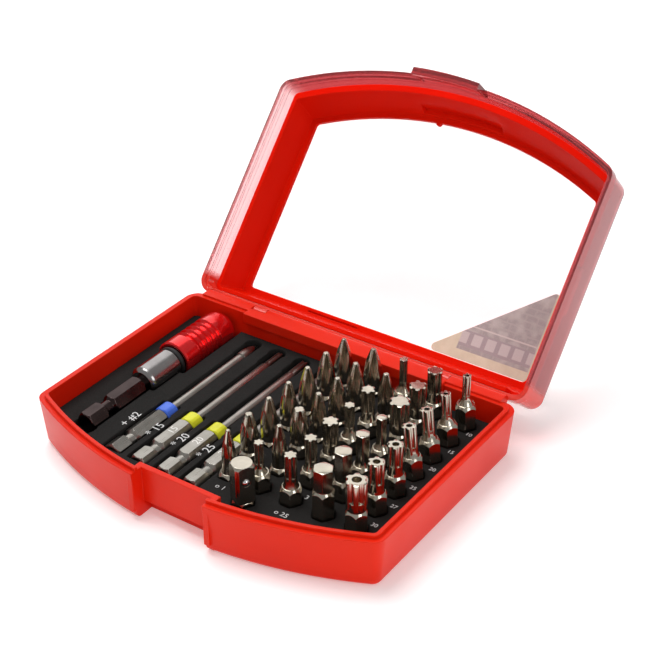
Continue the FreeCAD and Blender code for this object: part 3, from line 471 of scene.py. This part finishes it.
# ================================================================ soft foam
def foam_block():
    """Foam insert with soft edges and an uneven, fine-celled surface."""
    cad = frame["nodes"]["foam_insert"]
    piece = bpy.data.objects.new("foam_block", cad.data.copy())
    bpy.context.scene.collection.objects.link(piece)
    grid = piece.modifiers.new("grid", "REMESH")
    grid.mode = "VOXEL"
    grid.voxel_size = FOAM_GRID
    soft = piece.modifiers.new("soft", "SMOOTH")
    soft.factor = 0.5
    soft.iterations = 2
    cells = bpy.data.textures.new("foam_cells", "CLOUDS")
    cells.noise_scale = FOAM_CELL
    uneven = piece.modifiers.new("uneven", "DISPLACE")
    uneven.texture = cells
    uneven.strength = FOAM_UNEVEN
    uneven.mid_level = 0.55
    made = bpy.data.meshes.new_from_object(piece.evaluated_get(bpy.context.evaluated_depsgraph_get()))
    piece.modifiers.clear()
    piece.data = made
    made.materials.clear()
    made.materials.append(MATERIALS["foam_black"])
    for face in made.polygons:
        face.use_smooth = True
    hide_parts("foam_insert")
    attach(piece, "base")


# ================================================================ printed and engraved sizes
def lettering(name, words, material, body):
    """One mesh of flat lettering: words are (text, height, x, y, z, turn about Z)."""
    joined = bmesh.new()
    for text, height, x, y, z, turn in words:
        curve = bpy.data.curves.new(name, "FONT")
        curve.body = text
        curve.size = height
        curve.align_x = "CENTER"
        curve.align_y = "CENTER"
        curve.extrude = INK_T / 2
        curve.resolution_u = 3
        drawn = bpy.data.objects.new(name, curve)
        bpy.context.scene.collection.objects.link(drawn)
        flat = bpy.data.meshes.new_from_object(drawn.evaluated_get(bpy.context.evaluated_depsgraph_get()))
        flat.transform(Matrix.Translation((x, y, z + INK_T / 2)) @ Matrix.Rotation(turn, 4, "Z"))
        joined.from_mesh(flat)
        bpy.data.objects.remove(drawn)
        bpy.data.meshes.remove(flat)
    bmesh.ops.remove_doubles(joined, verts=joined.verts, dist=0.2 * WELD_DISTANCE)
    mesh = bpy.data.meshes.new(name)
    joined.to_mesh(mesh)
    joined.free()
    mesh.materials.append(material)
    piece = bpy.data.objects.new(name, mesh)
    bpy.context.scene.collection.objects.link(piece)
    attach(piece, body)


def size_numbers():
    """White sizes on the foam and engraved sizes on the long bits."""
    ink = print_ink("white_ink", (0.80, 0.80, 0.79))
    words = []
    for text, y in ROW_LABELS:
        words.append((text, ROW_LABEL_H, ROW_LABEL_X, y * MM, PRINT_Z, 0.0))
    for text, x, y in FRONT_LABELS:
        words.append((text, FRONT_LABEL_H, x * MM, y * MM, PRINT_Z, 0.0))
    long_bits = [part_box("long_bit_%d_%s" % (i + 1, kind)) for i, kind in enumerate(LONG_KINDS)]
    for text, (low, high) in zip(LONG_LABELS, long_bits):
        middle = (low.x + high.x) / 2
        words.append((text, LONG_LABEL_H, middle - LONG_LABEL_BESIDE, low.y + LONG_LABEL_Y, PRINT_Z, ALONG))
    lettering("foam_print", words, ink, "base")
    engraved = metal("engraving", (0.62, 0.61, 0.58), (0.72, 0.71, 0.68), (0.4, 0.55))
    for i, text in LONG_MARKS:
        low, high = long_bits[i]
        number = [(text, LONG_MARK_H, (low.x + high.x) / 2, low.y + LONG_MARK_Y, high.z, ALONG)]
        lettering("size_mark_%d" % (i + 1), number, engraved, "long_bit_%d" % (i + 1))


# ================================================================ studio
def studio():
    """Pale floor, soft world light and large soft lamps."""
    look = Look("floor")
    tone = look.blend(look.spread(look.noise(3, 2), 0.0, 1.0), (0.93, 0.93, 0.93), (0.96, 0.96, 0.96))
    look.link(tone, look.shader.inputs["Base Color"])
    look.put(Roughness=0.8, Specular_IOR_Level=0.1, Emission_Strength=FLOOR_GLOW)
    look.shader.inputs["Emission Color"].default_value = (1.0, 1.0, 1.0, 1.0)
    mesh = bpy.data.meshes.new("floor")
    half = FLOOR_HALF
    corners = [(-half, -half, 0), (half, -half, 0), (half, half, 0), (-half, half, 0)]
    mesh.from_pydata(corners, [], [(0, 1, 2, 3)])
    floor = bpy.data.objects.new("floor", mesh)
    floor.location.z = -FLOOR_DROP
    mesh.materials.append(look.material)
    bpy.context.scene.collection.objects.link(floor)

    world = bpy.data.worlds.new("studio")
    world.use_nodes = True
    background = world.node_tree.nodes["Background"]
    background.inputs["Color"].default_value = (1.0, 1.0, 1.0, 1.0)
    background.inputs["Strength"].default_value = SKY_STRENGTH
    bpy.context.scene.world = world

    for name, place, size, watts in LAMPS:
        data = bpy.data.lights.new(name, "AREA")
        data.shape = "SQUARE"
        data.size = size
        data.energy = watts
        lamp = bpy.data.objects.new(name, data)
        lamp.location = place
        lamp.rotation_euler = (LAMP_AIM - lamp.location).to_track_quat("-Z", "Y").to_euler()
        bpy.context.scene.collection.objects.link(lamp)
    bpy.context.scene.view_settings.view_transform = "Standard"


def camera():
    """Camera at the viewing angle, looking down on the front right corner."""
    a, e, r = CAMERA_AZIMUTH, CAMERA_ELEVATION, CAMERA_ROLL
    right = Vector((math.cos(a), math.sin(a), 0.0))
    back = Vector((math.sin(a) * math.cos(e), -math.cos(a) * math.cos(e), math.sin(e)))
    up = back.cross(right)
    side = right * math.cos(r) + up * math.sin(r)
    top = up * math.cos(r) - right * math.sin(r)
    turn = Matrix((side, top, back)).transposed().to_4x4()
    data = bpy.data.cameras.new("camera")
    data.lens = CAMERA_LENS
    data.sensor_width = SENSOR_WIDTH
    data.clip_start = CLIP_START
    made = bpy.data.objects.new("camera", data)
    made.matrix_world = Matrix.Translation(CAMERA_TARGET + back * CAMERA_DISTANCE) @ turn
    bpy.context.scene.collection.objects.link(made)
    bpy.context.scene.camera = made


# ================================================================ the whole
MATERIALS = {
    "tray_red": red_plastic("tray_plastic", (0.70, 0.013, 0.002), (0.78, 0.018, 0.003), TRAY_EDGE, 0.28),
    "frame_red": red_plastic("frame_plastic", (0.69, 0.008, 0.001), (0.77, 0.011, 0.002), FRAME_EDGE, 0.06),
    "lid_clear": clear_plastic(),
    "sticker": sticker_film(),
    "foam_black": foam(),
    "pin_steel": metal("pin_steel", (0.5, 0.5, 0.5), (0.65, 0.65, 0.65), (0.2, 0.35)),
    "bit_nickel": metal("bit_nickel", (0.44, 0.40, 0.33), (0.54, 0.49, 0.41), (0.13, 0.20), edge_highlight_gain=1.7),
    "ball_steel": metal("ball_steel", (0.6, 0.6, 0.6), (0.75, 0.75, 0.75), (0.08, 0.16)),
    "long_bit_satin": metal("satin_steel", (0.27, 0.255, 0.225), (0.35, 0.33, 0.30), (0.25, 0.34),
                            streaks=(900, 60, 900), edge_highlight_gain=2.0),
    "band_blue": plastic("band_blue", (0.045, 0.130, 0.62), (0.065, 0.17, 0.76)),
    "band_yellow": plastic("band_yellow", (0.62, 0.62, 0.010), (0.76, 0.76, 0.02)),
    # partly painted reflection: the darkness is the steel's own, but its red cast stands in for the red
    # tray reflected in it; its edges carry a strong painted highlight
    "shank_dark": metal("dark_steel", (0.042, 0.028, 0.027), (0.064, 0.045, 0.043), (0.13, 0.19),
                        edge_highlight_gain=4.0),
    "sleeve_steel": metal("sleeve_steel", (0.27, 0.255, 0.25), (0.34, 0.325, 0.32), (0.15, 0.21),
                          streaks=(120, 60, 120)),
    "magnet": metal("magnet", (0.3, 0.3, 0.3), (0.45, 0.45, 0.45), (0.3, 0.5)),
    "ring_black": plastic("ring_black", (0.008, 0.008, 0.008), (0.02, 0.02, 0.02)),
    "collar_red": anodised_red(),
}

dress()
foam_block()
size_numbers()
studio()
camera()
